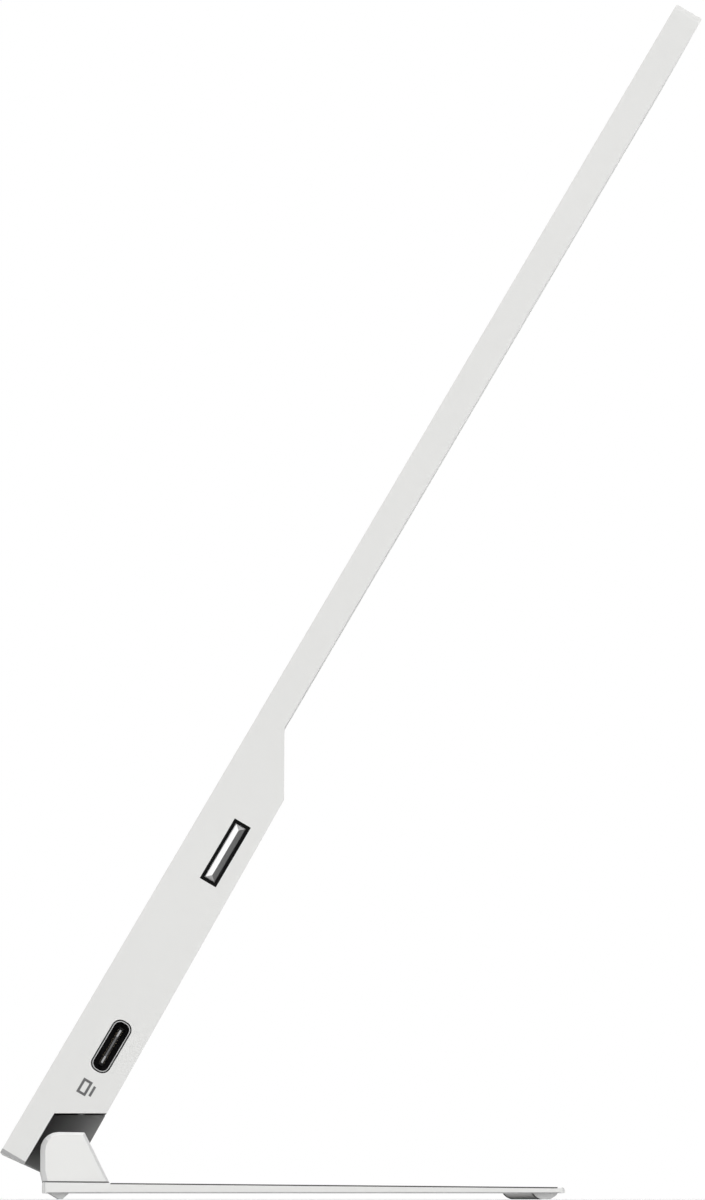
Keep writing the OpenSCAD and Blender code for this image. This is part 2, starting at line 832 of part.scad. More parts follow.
module front_bezel() {
    frame_half = wall_in - layer_gap;
    frame_low = lower_u(frame_inset + frame_t, rim_t) + layer_gap;
    frame_high = display_h - rim_t - layer_gap;
    color(frame_black) in_display() layer(frame_inset, frame_t) difference() {
        rect(-frame_half, frame_half, frame_low, frame_high);
        rect(-active_w / 2 - window_margin, active_w / 2 + window_margin,
             picture_low - window_margin, picture_top + window_margin);
    }
}

// Height of the display's lower side at depth v, raised by wall w
function lower_u(v, w) = v * tan(lower_tilt) + w / cos(lower_tilt);

module lcd_cell() {
    color(chip_black) in_display() layer(cell_v, cell_t)
        rect(-cell_half, cell_half, cell_low, cell_top);
}

tray_in = tray_t + layer_gap;
guide_low = cell_low + tray_in + led_h + layer_gap;

module optical_sheets() {
    color("white") in_display() layer(sheet_v, sheet_t)
        rect(-cell_half + tray_in, cell_half - tray_in, cell_low + tray_in, cell_top - tray_in);
}

module light_guide() {
    color("lightcyan") in_display() layer(guide_v, guide_t)
        rect(-cell_half + tray_in, cell_half - tray_in, guide_low, cell_top - tray_in);
}

module led_strip() {
    color("khaki") in_display() layer(guide_v, guide_t)
        rect(-cell_half + 2 * tray_in, cell_half - 2 * tray_in,
             cell_low + tray_in, cell_low + tray_in + led_h);
}

module panel_tray() {
    color(steel) in_display() difference() {
        layer(sheet_v, tray_v + tray_t - sheet_v) rect(-cell_half, cell_half, cell_low, cell_top);
        layer(sheet_v - cut, tray_v - sheet_v + cut)
            rect(-cell_half + tray_t, cell_half - tray_t, cell_low + tray_t, cell_top - tray_t);
    }
}

module panel_tape() {
    color(dark_grey) in_display() layer(tape_v, tape_t) {
        for (s = [-1, 1])
            translate([s * (cell_half - tape_margin), 0])
                rect(-tape_w / 2, tape_w / 2, cell_low + tape_margin, cell_top - tape_margin);
        for (u = [cell_low + tape_margin, cell_top - tape_margin])
            rect(-cell_half + 2 * tape_margin, cell_half - 2 * tape_margin, u - tape_w / 2, u + tape_w / 2);
    }
}

// ---------- chassis ----------

hole_edge = 4;

// Screw places of a board, as [x, u], for the inner end of the board
function board_holes(board_in) = [
    [board_in + hole_edge, board_low + board_h - hole_edge],
    [board_in + 2.5 * hole_edge, board_low + board_h * 0.19],
    [board_out - 2 * hole_edge, board_low + board_h * 0.56]
];

module at_board_holes() {
    for (p = board_holes(main_board_in)) translate([p.x, 0, p.y]) children();
    mirror([1, 0, 0]) for (p = board_holes(port_board_in)) translate([p.x, 0, p.y]) children();
}

module chassis_plate() {
    chassis_half = wall_in - 6 * layer_gap;
    color(steel) in_display() difference() {
        union() {
            layer(chassis_v, chassis_t)
                rect(-chassis_half, chassis_half, chassis_low, display_h - rim_t - 6 * layer_gap);
            at_leaf_screws() post(0, 0, chassis_v, leaf_v - chassis_v, boss_d);
            at_board_holes() post(0, 0, chassis_v, board_v - chassis_v, boss_d);
        }
        at_leaf_screws() post(0, 0, chassis_v - cut, 2 * leaf_v, screw_d);
        at_board_holes() post(0, 0, chassis_v - cut, 2 * board_v, screw_d);
        at_bosses(chassis_v - cut, chassis_t + 2 * cut, screw_d + 0.3);
        // slot for the panel cable
        layer(chassis_v - cut, chassis_t + 2 * cut)
            rect(cable_x - 1, cable_x + 1, cable_u - cable_w / 2 - 0.4, cable_u + cable_w / 2 + 0.4);
    }
}

chassis_head_t = 0.3;

module chassis_screws() {
    color(steel) in_display() {
        at_bosses(chassis_v - chassis_head_t, chassis_head_t, head_d);
        at_bosses(chassis_v, 3.6, screw_d);
    }
}

// ---------- circuit boards ----------

module board_blank(board_in) {
    difference() {
        layer(board_v, board_t) difference() {
            rect(board_in, board_out, board_low, board_low + board_h);
            // room for the hinge leaf and its posts
            rect(barrel_in - 1.5, barrel_out + 1.5, board_low - cut, leaf_top + 1.5);
        }
        for (p = board_holes(board_in)) post(p.x, p.y, board_v - cut, board_t + 2 * cut, screw_d + 0.2);
    }
}

module main_board() {
    color(board_green) in_display() board_blank(main_board_in);
}

module port_board() {
    color(board_green) in_display() on_left() board_blank(port_board_in);
}

module board_screws() {
    color(steel) in_display() at_board_holes() pan_screw(0, 0, board_back, board_t + pad_h + 0.3);
}

// Flat part of size w by h centred at x and u, standing t behind the boards
module chip(x, u, w, h, t) {
    translate([x - w / 2, part_v, u - h / 2]) cube([w, t, h]);
}

shield_u = board_low + board_h * 0.65;
shield_w = 34;
shield_h = 24;
shield_t = 2.0;
chip_t = shield_t * 0.5;
scaler_w = shield_h * 0.58;
memory_w = shield_h * 0.33;
supply_w = 9;
choke_w = 5;
choke_pitch = 7;
capacitor_w = 3.2;
choke_x = main_board_in + 4 * hole_edge;
choke_end = choke_x + 3 * choke_pitch + choke_w / 2;
shield_x = choke_end + shield_w / 2 + 1.5;

module board_chips() {
    color(chip_black) in_display() {
        chip(shield_x - shield_w * 0.18, shield_u, scaler_w, scaler_w, chip_t);
        chip(shield_x + shield_w * 0.27, shield_u + shield_h * 0.2, memory_w, memory_w, chip_t);
        chip(shield_x + shield_w * 0.27, shield_u - shield_h * 0.24, memory_w, memory_w * 0.6, chip_t);
        chip(main_board_in + main_board_len * 0.19, board_low + board_h * 0.8, supply_w, supply_w, chip_t);
        for (i = [0:3])
            chip(choke_x + i * choke_pitch, board_low + board_h * 0.5, choke_w, choke_w, choke_w * 0.48);
        for (i = [0:5])
            chip(main_board_in + main_board_len * 0.27 + i * choke_pitch, board_low + board_h * 0.17,
                 capacitor_w, capacitor_w * 0.55, chip_t);
        on_left()
            chip(port_board_in + port_board_len * 0.2, board_low + board_h * 0.63, choke_w, choke_w, chip_t);
    }
}

module board_shield() {
    color(steel) in_display() difference() {
        chip(shield_x, shield_u, shield_w, shield_h, shield_t);
        translate([0, -0.2, 0]) chip(shield_x, shield_u, shield_w - 0.4, shield_h - 0.4, shield_t);
    }
}

plug_rim = 0.6;
cable_plug = 3;
link_plug = 0.6;
plug_w = 4;

module board_connectors() {
    color("ivory") in_display() {
        translate([main_board_in + cable_plug, part_v, cable_u - cable_w / 2 - plug_rim])
            cube([plug_w, connector_h, cable_w + 2 * plug_rim]);
        for (x = [main_board_in + link_plug, -port_board_in - link_plug - plug_w])
            translate([x, part_v, link_u - link_w / 2 - plug_rim])
                cube([plug_w, connector_h, link_w + 2 * plug_rim]);
    }
}

module board_link_cable() {
    color("white") in_display()
        translate([-port_board_in - link_plug, part_v + cable_t, link_u - link_w / 2])
            cube([port_board_in + main_board_in + 2 * link_plug, cable_t, link_w]);
}

module timing_board() {
    color(board_green) in_display() layer(timing_v, timing_t)
        rect(timing_in, timing_out, timing_low, timing_low + timing_h);
}

timing_chip_t = 0.9;
timing_chip_w = timing_h * 0.5;
cable_grip = 1;

module timing_chips() {
    color(chip_black) in_display() layer(timing_v - timing_chip_t, timing_chip_t) {
        for (k = [0.15, 0.45])
            translate([timing_in + k * timing_w, timing_low + timing_chip_w * 0.2])
                square(timing_chip_w);
        rect(timing_out - cable_w, timing_out - cable_grip,
             cable_u - cable_w / 2 - 0.2, cable_u + cable_w / 2 + 0.2);
    }
}

flex_n = 3;
flex_pitch = timing_w / flex_n;
flex_w = flex_pitch * 0.5;
flex_t = 0.1;

// Thin tails from the foot of the panel glass round to the timing board
module panel_flexes() {
    flex_v = cell_v + cell_t / 2;
    flex_low = timing_low + timing_h * 0.7;
    flex_bend = (timing_low + timing_h + cell_low) / 2;
    color(flex_amber) in_display()
        for (i = [0:flex_n - 1])
            translate([timing_in + (i + 0.25) * flex_pitch, 0, 0])
                across(0, flex_w) {
                    rect(flex_v, flex_v + flex_t, flex_bend, cell_low);
                    rect(flex_v, timing_v, flex_bend, flex_bend + flex_t);
                    rect(timing_v - flex_t, timing_v, flex_low, flex_bend + flex_t);
                }
}

// Flat cable from the timing board through the chassis to the main board
module panel_cable() {
    front_v = timing_v - timing_chip_t / 2 - cable_t / 2;
    rear_v = part_v + 0.4;
    color(flex_amber) in_display()
        translate([0, 0, cable_u - cable_w / 2])
            linear_extrude(height = cable_w) {
                rect(timing_out - cable_grip, cable_x, front_v, front_v + cable_t);
                rect(cable_x - cable_t / 2, cable_x + cable_t / 2, front_v, rear_v + cable_t);
                rect(cable_x, main_board_in + cable_plug, rear_v, rear_v + cable_t);
            }
}

// ---------- ports ----------

module usb_c_shell() {
    in_display() translate([0, usb_v, usb_u]) difference() {
        across(usb_face - usb_len, usb_face) port_outline(usb_shell_t);
        across(usb_face - usb_len + usb_shell_t, usb_face + cut) port_outline(0);
    }
}

module usb_c_shell_right() {
    color(steel) usb_c_shell();
}

module usb_c_shell_left() {
    color(steel) on_left() usb_c_shell();
}

tongue_base = 1.9;

module usb_c_tongue() {
    in_display() translate([0, usb_v, usb_u]) {
        across(usb_face - usb_len + usb_shell_t, usb_face - usb_len + usb_shell_t + tongue_base)
            port_outline(-0.02);
        across(usb_face - usb_len + usb_shell_t, usb_face - tongue_inset)
            square([tongue_t, tongue_w], center = true);
    }
}

module usb_c_tongue_right() {
    color(chip_black) usb_c_tongue();
}

module usb_c_tongue_left() {
    color(chip_black) on_left() usb_c_tongue();
}

// ---------- side keys ----------

trim_in_l = key_len + 2 * key_gap;
trim_in_w = key_w + 2 * key_gap;
trim_out_l = trim_in_l + 2 * trim_w;
trim_out_w = trim_in_w + 2 * trim_w;
trim_lip = 0.6;

module key_trim() {
    in_display() translate([0, key_v, key_u]) difference() {
        union() {
            across(trim_back, trim_face) square([trim_out_w, trim_out_l], center = true);
            across(trim_back, wall_in - layer_gap)
                square([trim_out_w + 2 * trim_lip, trim_out_l + 2 * trim_lip], center = true);
        }
        across(trim_back - cut, trim_face + cut) square([trim_in_w, trim_in_l], center = true);
    }
}

module key_trim_right() {
    color(frame_black) key_trim();
}

module key_trim_left() {
    color(frame_black) on_left() key_trim();
}

flange_face = trim_back - layer_gap;
flange_back = flange_face - flange_t;
flange_w = trim_in_w + 1.0;
flange_l = trim_in_l + 1.0;

// Cap with a hipped roof, and the flange that keeps it behind its trim
module key_cap() {
    ridge = side + key_proud;
    eave = side - key_sunk;
    hip = (ridge - eave) * 1.2;
    in_display() translate([0, key_v, key_u]) {
        intersection() {
            translate([0, 0, -key_len / 2])
                linear_extrude(height = key_len)
                    polygon([[flange_back, -key_w / 2], [eave, -key_w / 2], [ridge, 0],
                             [eave, key_w / 2], [flange_back, key_w / 2]]);
            layer(-key_w, 2 * key_w)
                polygon([[flange_back, -key_len / 2], [eave, -key_len / 2], [ridge, hip - key_len / 2],
                         [ridge, key_len / 2 - hip], [eave, key_len / 2], [flange_back, key_len / 2]]);
        }
        across(flange_back, flange_face) square([flange_w, flange_l], center = true);
    }
}

module power_key() {
    color(steel) key_cap();
}

module menu_key() {
    color(steel) on_left() key_cap();
}

plunger_w = 1.4;
plunger_l = 2.4;
plunger_back = flange_back - plunger_len;
slide_gap = 0.05;

module key_plunger() {
    in_display() translate([0, key_v, key_u])
        across(plunger_back, flange_back) square([plunger_w, plunger_l], center = true);
}

module power_key_plunger() {
    color(frame_black) key_plunger();
}

module menu_key_plunger() {
    color(frame_black) on_left() key_plunger();
}

switch_h = 2 * (key_v - part_v);
switch_l = 4.6;

module key_switch() {
    in_display() translate([0, key_v, key_u]) difference() {
        across(switch_face - switch_depth, switch_face) square([switch_h, switch_l], center = true);
        across(plunger_back - key_travel - 0.1, switch_face + cut)
            square([plunger_w + 2 * slide_gap, plunger_l + 2 * slide_gap], center = true);
    }
}

module key_switch_right() {
    color(chip_black) key_switch();
}

module key_switch_left() {
    color(chip_black) on_left() key_switch();
}

// ---------- feet ----------

// Strip of the given width centred at distance y behind the hinge axis, with a side view as its child
module foot_strip(y, w) {
    end_r = 0.8;
    color(foot_grey) in_stand()
        intersection() {
            across(-side + foot_end, side - foot_end) translate([y, foot_plate_low]) children();
            translate([0, 0, foot_plate_low - foot_h - cut])
                linear_extrude(height = foot_h + 2 * cut)
                    polygon(rounded(
                        [[-side + foot_end, y - w / 2], [side - foot_end, y - w / 2],
                         [side - foot_end, y + w / 2], [-side + foot_end, y + w / 2]],
                        [end_r, end_r, end_r, end_r]));
        }
}

// Strip with a low ridge
module front_foot_strip() {
    foot_strip(front_foot_at - plate_front, front_foot_w)
        polygon(rounded(
            [[-front_foot_w / 2, 0], [front_foot_lean - front_foot_flat / 2, -foot_h],
             [front_foot_lean + front_foot_flat / 2, -foot_h], [front_foot_w / 2, 0]],
            [0, 0.3, 0.3, 0]));
}

// Domed strip: a segment of a circle with a level stretch underneath
module rear_foot_strip() {
    dome_r = (pow(rear_foot_w / 2, 2) + pow(foot_h, 2)) / (2 * foot_h);
    flat_drop = dome_r - sqrt(pow(dome_r, 2) - pow(rear_foot_flat / 2, 2));
    foot_strip(plate_rear - rear_foot_at, rear_foot_w)
        intersection() {
            translate([0, dome_r - foot_h - flat_drop]) circle(r = dome_r);
            rect(-rear_foot_w, rear_foot_w, -foot_h, 0);
        }
}

base_plate();
base_mat();
hinge_arm_right();
hinge_arm_left();
arm_screws();
hinge_shaft_right();
hinge_shaft_left();
friction_washers_right();
friction_washers_left();
hinge_nut_right();
hinge_nut_left();
front_foot_strip();
rear_foot_strip();
rear_cover();
hinge_cover();
hinge_bracket_right();
hinge_bracket_left();
hinge_screws();
front_bezel();
lcd_cell();
optical_sheets();
light_guide();
led_strip();
panel_tray();
panel_tape();
chassis_plate();
chassis_screws();
timing_board();
timing_chips();
panel_flexes();
panel_cable();
main_board();
port_board();
board_chips();
board_shield();
board_connectors();
board_link_cable();
board_screws();
usb_c_shell_right();
usb_c_shell_left();
usb_c_tongue_right();
usb_c_tongue_left();
key_trim_right();
key_trim_left();
key_switch_right();
key_switch_left();
power_key();
power_key_plunger();
menu_key();
menu_key_plunger();
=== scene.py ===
import json
import math

import bmesh
import bpy
from mathutils import Matrix, Vector


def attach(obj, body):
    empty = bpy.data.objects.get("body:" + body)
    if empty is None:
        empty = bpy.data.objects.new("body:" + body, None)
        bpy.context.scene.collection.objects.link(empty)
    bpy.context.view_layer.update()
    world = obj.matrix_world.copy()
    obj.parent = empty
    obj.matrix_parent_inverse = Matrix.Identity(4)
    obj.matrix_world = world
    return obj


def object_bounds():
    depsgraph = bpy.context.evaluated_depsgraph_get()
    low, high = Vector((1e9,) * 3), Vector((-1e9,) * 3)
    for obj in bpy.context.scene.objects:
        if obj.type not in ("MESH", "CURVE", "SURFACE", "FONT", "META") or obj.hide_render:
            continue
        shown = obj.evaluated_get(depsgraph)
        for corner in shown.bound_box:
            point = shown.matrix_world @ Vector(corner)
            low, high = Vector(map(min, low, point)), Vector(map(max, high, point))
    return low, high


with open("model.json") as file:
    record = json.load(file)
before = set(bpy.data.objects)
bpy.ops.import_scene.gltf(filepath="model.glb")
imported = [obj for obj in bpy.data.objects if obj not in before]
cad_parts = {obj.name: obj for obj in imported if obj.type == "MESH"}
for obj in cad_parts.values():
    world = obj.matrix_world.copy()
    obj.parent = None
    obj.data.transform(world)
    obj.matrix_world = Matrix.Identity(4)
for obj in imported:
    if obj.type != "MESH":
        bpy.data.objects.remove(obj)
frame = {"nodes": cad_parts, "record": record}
cad_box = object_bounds()

# ---------- Studio ----------
# A pale table top under the monitor and a white room round it. The table keeps the soft shadow
# near the monitor and fades into the white room further out.
bpy.context.scene.view_settings.view_transform = "Standard"

table_radius = 40.0
table_mesh = bmesh.new()
bmesh.ops.create_circle(table_mesh, cap_ends=True, segments=96, radius=table_radius)
table_data = bpy.data.meshes.new("table_top")
table_mesh.to_mesh(table_data)
table_mesh.free()
table_top = bpy.data.objects.new("table_top", table_data)
bpy.context.scene.collection.objects.link(table_top)


# Math node of a node tree, with inputs that are each a number or another node's output
def arithmetic(tree, operation, *values):
    step = tree.nodes.new("ShaderNodeMath")
    step.operation = operation
    for socket, value in zip(step.inputs, values):
        if isinstance(value, float):
            socket.default_value = value
        else:
            tree.links.new(value, socket)
    return step.outputs["Value"]


# Map Range node that rises from 0 to 1 while a value goes from start to end
def ramp(tree, value, start, end):
    step = tree.nodes.new("ShaderNodeMapRange")
    step.inputs["From Min"].default_value = start
    step.inputs["From Max"].default_value = end
    tree.links.new(value, step.inputs["Value"])
    return step


# Blend of two shaders by a mask, sent to the output node of a material or a world
def show_blend(tree, mask, first, second, output_name):
    blend = tree.nodes.new("ShaderNodeMixShader")
    tree.links.new(mask, blend.inputs["Fac"])
    tree.links.new(first, blend.inputs[1])
    tree.links.new(second, blend.inputs[2])
    tree.links.new(blend.outputs["Shader"], tree.nodes[output_name].inputs["Surface"])


fade_from = 0.22
fade_to = 0.6
table_paint = bpy.data.materials.new("table_paint")
table_paint.use_nodes = True
tree = table_paint.node_tree
matt = tree.nodes["Principled BSDF"]
matt.inputs["Base Color"].default_value = (0.9, 0.9, 0.9, 1)
matt.inputs["Roughness"].default_value = 0.9
matt.inputs["Specular IOR Level"].default_value = 0.1
white_out = tree.nodes.new("ShaderNodeEmission")
place = tree.nodes.new("ShaderNodeTexCoord")
distance = tree.nodes.new("ShaderNodeVectorMath")
distance.operation = "LENGTH"
tree.links.new(place.outputs["Object"], distance.inputs[0])
fade = ramp(tree, distance.outputs["Value"], fade_from, fade_to)
fade.interpolation_type = "SMOOTHSTEP"
ray = tree.nodes.new("ShaderNodeLightPath")
faded = arithmetic(tree, "MULTIPLY", fade.outputs["Result"], ray.outputs["Is Camera Ray"])
show_blend(
    tree, faded, matt.outputs["BSDF"], white_out.outputs["Emission"], "Material Output"
)
table_data.materials.append(table_paint)

room_level = 0.42
seen_level = 1.0
room = bpy.data.worlds.new("white_room")
bpy.context.scene.world = room
room.use_nodes = True
tree = room.node_tree
room_light = tree.nodes["Background"]
room_seen = tree.nodes.new("ShaderNodeBackground")
for glow, level in ((room_light, room_level), (room_seen, seen_level)):
    glow.inputs["Color"].default_value = (1, 1, 1, 1)
    glow.inputs["Strength"].default_value = level
ray = tree.nodes.new("ShaderNodeLightPath")
either = arithmetic(tree, "MAXIMUM", ray.outputs["Is Camera Ray"], ray.outputs["Is Glossy Ray"])
any_seen = arithmetic(tree, "MAXIMUM", either, ray.outputs["Is Transmission Ray"])
show_blend(
    tree, any_seen, room_light.outputs["Background"], room_seen.outputs["Background"],
    "World Output",
)


# Flat lamp of a given width and depth
def flat_lamp(name, place, turn, width, depth, watts):
    lamp = bpy.data.lights.new(name, "AREA")
    lamp.shape = "RECTANGLE"
    lamp.size = width
    lamp.size_y = depth
    lamp.energy = watts
    stand = bpy.data.objects.new(name, lamp)
    stand.location = place
    stand.rotation_euler = turn
    bpy.context.scene.collection.objects.link(stand)


# Softboxes stand round the table and look at the middle of the monitor.
softbox_width = 1.4
monitor_middle = Vector((0, 0, 0.09))


def softbox(name, x, y, z, watts):
    look = monitor_middle - Vector((x, y, z))
    turn = look.to_track_quat("-Z", "Y").to_euler()
    flat_lamp(name, (x, y, z), turn, softbox_width, softbox_width, watts)


softbox("softbox_right", 1.9, -0.1, 0.7, 12.3)
softbox("softbox_front", 0.6, -1.8, 1.0, 4)
softbox("softbox_left", -1.9, 0.2, 0.9, 9)
softbox("softbox_back", 0.3, 1.9, 1.1, 9)
softbox("softbox_top", 0.1, 0.0, 2.1, 11)
# A weak flat lamp in the table top, hidden under the foot plate, lights the gap between its feet.
gap_width = 0.284
gap_depth = 0.066
gap_middle = (0, -0.005, 0.0001)
face_up = (math.pi, 0, 0)
flat_lamp("gap_lamp", gap_middle, face_up, gap_width, gap_depth, 0.02)

# The camera stands far off to the right of the monitor, level with the table top. Its sensor's
# width lies along the taller side of the picture.
near_side = cad_box[1][0] - 0.0005
picture_middle = (near_side, 0.0002, 0.09393)
picture_height = 0.18804
lens = 950.0
sensor_width = 36.0
camera_distance = picture_height * lens / sensor_width
camera_y = -0.0495
camera_z = 0.0005
camera_data = bpy.data.cameras.new("camera")
camera_data.lens = lens
camera_data.sensor_width = sensor_width
camera_data.clip_end = 100.0
camera = bpy.data.objects.new("camera", camera_data)
camera.location = (near_side + camera_distance, camera_y, camera_z)
look = Vector(picture_middle) - camera.location
camera.rotation_euler = look.to_track_quat("-Z", "Y").to_euler()
bpy.context.scene.collection.objects.link(camera)
bpy.context.scene.camera = camera

# ---------- Housing ----------
# The rear cover of the display is moulded in one piece, in pale plastic with a fine matt grain.
# It holds the screen frame at the front, and the hinges and boards inside its thick lower part.
mm = 0.001
lean = math.radians(30.5)
axis_v = 9.04967 * mm
axis_u = 3.95 * mm
hinge = frame["record"]["behaviour"]["joints"][0]["pos_m"]
# Carries a piece drawn as x across, v back from the screen and u up along it to its leaning place
display_place = (
    Matrix.Translation(hinge)
    @ Matrix.Rotation(-lean, 4, "X")
    @ Matrix.Translation((0, -axis_v, -axis_u))
)
along_x = Vector((1, 0, 0))
along_v = Vector((0, 1, 0))
along_u = Vector((0, 0, 1))


# Fine grain and broad cloudiness of a moulded or painted surface
def grain_group():
    group = bpy.data.node_groups.new("surface_grain", "ShaderNodeTree")
    for name in ("Fine Scale", "Broad Scale"):
        group.interface.new_socket(name=name, in_out="INPUT", socket_type="NodeSocketFloat")
    for name in ("Fine", "Broad"):
        group.interface.new_socket(name=name, in_out="OUTPUT", socket_type="NodeSocketFloat")
    start = group.nodes.new("NodeGroupInput")
    end = group.nodes.new("NodeGroupOutput")
    coordinates = group.nodes.new("ShaderNodeTexCoord")
    for name, detail in (("Fine", 2.0), ("Broad", 3.0)):
        noise = group.nodes.new("ShaderNodeTexNoise")
        noise.inputs["Detail"].default_value = detail
        group.links.new(coordinates.outputs["Object"], noise.inputs["Vector"])
        group.links.new(start.outputs[name + " Scale"], noise.inputs["Scale"])
        group.links.new(noise.outputs["Fac"], end.inputs[name])
    return group


surface_grain = grain_group()
gloss_drift = 0.12
bump_strength = 0.6


# sRGB value of a flat grey or colour as a linear colour for a shader socket
def paint(*shade):
    channels = shade if len(shade) == 3 else shade * 3
    linear = [c / 12.92 if c <= 0.04045 else ((c + 0.055) / 1.055) ** 2.4 for c in channels]
    return (*linear, 1.0)


# Surface whose colour drifts between two tints, with roughness and bump from its grain
def grained(name, tint, other_tint, rough, fine_mm, broad_mm, bump_mm, metal=0.0, specular=0.5):
    material = bpy.data.materials.new(name)
    material.use_nodes = True
    nodes = material.node_tree.nodes
    links = material.node_tree.links
    shader = nodes["Principled BSDF"]
    shader.inputs["Metallic"].default_value = metal
    shader.inputs["Specular IOR Level"].default_value = specular
    grain = nodes.new("ShaderNodeGroup")
    grain.node_tree = surface_grain
    grain.inputs["Fine Scale"].default_value = 1000.0 / fine_mm
    grain.inputs["Broad Scale"].default_value = 1000.0 / broad_mm
    drift = nodes.new("ShaderNodeMix")
    drift.data_type = "RGBA"
    drift.inputs["A"].default_value = tint
    drift.inputs["B"].default_value = other_tint
    gloss = nodes.new("ShaderNodeMapRange")
    gloss.inputs["To Min"].default_value = rough * (1.0 - gloss_drift)
    gloss.inputs["To Max"].default_value = min(1.0, rough * (1.0 + gloss_drift))
    bump = nodes.new("ShaderNodeBump")
    bump.inputs["Distance"].default_value = bump_mm / 1000.0
    bump.inputs["Strength"].default_value = bump_strength
    links.new(grain.outputs["Broad"], drift.inputs["Factor"])
    links.new(drift.outputs["Result"], shader.inputs["Base Color"])
    links.new(grain.outputs["Broad"], gloss.inputs["Value"])
    links.new(gloss.outputs["Result"], shader.inputs["Roughness"])
    links.new(grain.outputs["Fine"], bump.inputs["Height"])
    links.new(bump.outputs["Normal"], shader.inputs["Normal"])
    return material


# Gives CAD nodes their finish
def dress(material, *names):
    for name in names:
        for place in frame["nodes"][name].material_slots:
            place.link = "OBJECT"
            place.material = material


# Distance of a surface point from the plane through a point, with the given unit normal
def plane_distance(tree, normal, point):
    coordinates = tree.nodes.new("ShaderNodeTexCoord")
    along = tree.nodes.new("ShaderNodeVectorMath")
    along.operation = "DOT_PRODUCT"
    along.inputs[1].default_value = normal
    tree.links.new(coordinates.outputs["Object"], along.inputs[0])
    return arithmetic(tree, "SUBTRACT", along.outputs["Value"], point.dot(normal))


# Distance of a surface point from a place in the display, along one of the display's directions
def display_distance(tree, direction, origin):
    normal = (display_place.to_3x3() @ direction).normalized()
    return plane_distance(tree, normal, display_place @ (direction * origin))


# The same distance, counted alike to both sides of that place
def display_offset(tree, direction, origin):
    return arithmetic(tree, "ABSOLUTE", display_distance(tree, direction, origin))


# Mixes two colours by a mask that changes over the surface
def tint_by(tree, mask, first, second):
    mix = tree.nodes.new("ShaderNodeMix")
    mix.data_type = "RGBA"
    tree.links.new(mask, mix.inputs["Factor"])
    for socket, value in ((mix.inputs["A"], first), (mix.inputs["B"], second)):
        if isinstance(value, tuple):
            socket.default_value = value
        else:
            tree.links.new(value, socket)
    return mix.outputs["Result"]


# Lays a tint over a material's colour where a mask is 1
def overpaint(material, mask, tint):
    tree = material.node_tree
    base = tree.nodes["Principled BSDF"].inputs["Base Color"]
    tree.links.new(tint_by(tree, mask, base.links[0].from_socket, tint), base)


housing_grain = grained(
    "housing_grain", paint(0.895, 0.895, 0.888), paint(0.88, 0.88, 0.873),
    rough=0.55, fine_mm=0.22, broad_mm=40, bump_mm=0.010,
)
tree = housing_grain.node_tree
# The bevels across the two lower corners face down and are painted a little greyer, as shade.
bevel_from_x = 160.0 * mm
bevel_to_u = 0.76 * mm
sideways = display_offset(tree, along_x, 0.0)
corner = arithmetic(tree, "GREATER_THAN", sideways, bevel_from_x)
low = arithmetic(tree, "LESS_THAN", display_distance(tree, along_u, 0.0), bevel_to_u)
overpaint(housing_grain, arithmetic(tree, "MULTIPLY", corner, low), paint(0.72))
# The walls of the openings for the ports are painted dark, as the shade inside them.
port_v = 6.58 * mm
port_u = 23.15 * mm
hole_half_v = 1.9 * mm
hole_half_u = 4.9 * mm
hole_mouth_x = 161.44 * mm
near_v = arithmetic(tree, "LESS_THAN", display_offset(tree, along_v, port_v), hole_half_v)
near_u = arithmetic(tree, "LESS_THAN", display_offset(tree, along_u, port_u), hole_half_u)
near_port = arithmetic(tree, "MULTIPLY", near_v, near_u)
behind_mouth = arithmetic(tree, "LESS_THAN", sideways, hole_mouth_x)
overpaint(housing_grain, arithmetic(tree, "MULTIPLY", near_port, behind_mouth), paint(0.1))
dress(housing_grain, "rear_cover")

# ---------- Stand ----------
# Foot plate and hinge arms of cast and milled aluminium with a pale matt coat. The arms are
# screwed to the plate, a thin mat is glued on it and two rubber strips are glued under it.
bevel_turned_from = 0.5
bevel_turned_to = 0.88
bevel_up_from = 0.35
bevel_up_to = 0.65
bevel_down_below = -0.3


# The bevelled edges face partly to the side. Their light and shade are painted by which way they
# face: a painted highlight where they face up, grey towards the front and a greyer painted shade
# below.
def stand_coat(name):
    coat = grained(
        name, paint(0.925, 0.925, 0.918), paint(0.915, 0.915, 0.908),
        rough=0.5, fine_mm=0.18, broad_mm=30, bump_mm=0.008,
    )
    tree = coat.node_tree
    facing = tree.nodes.new("ShaderNodeTexCoord")
    parts = tree.nodes.new("ShaderNodeSeparateXYZ")
    tree.links.new(facing.outputs["Normal"], parts.inputs["Vector"])
    turned = arithmetic(tree, "ABSOLUTE", parts.outputs["X"])
    over = arithmetic(tree, "GREATER_THAN", turned, bevel_turned_from)
    under = arithmetic(tree, "LESS_THAN", turned, bevel_turned_to)
    upward = ramp(tree, parts.outputs["Z"], bevel_up_from, bevel_up_to)
    downward = arithmetic(tree, "LESS_THAN", parts.outputs["Z"], bevel_down_below)
    # Painted highlight on the upward bevels, painted shade on the others
    bevel_painted_light = tint_by(tree, upward.outputs["Result"], paint(0.835), paint(0.975))
    bevel_painted_light = tint_by(tree, downward, bevel_painted_light, paint(0.76))
    overpaint(coat, arithmetic(tree, "MULTIPLY", over, under), bevel_painted_light)
    return coat


dress(stand_coat("stand_coat"), "base_plate")
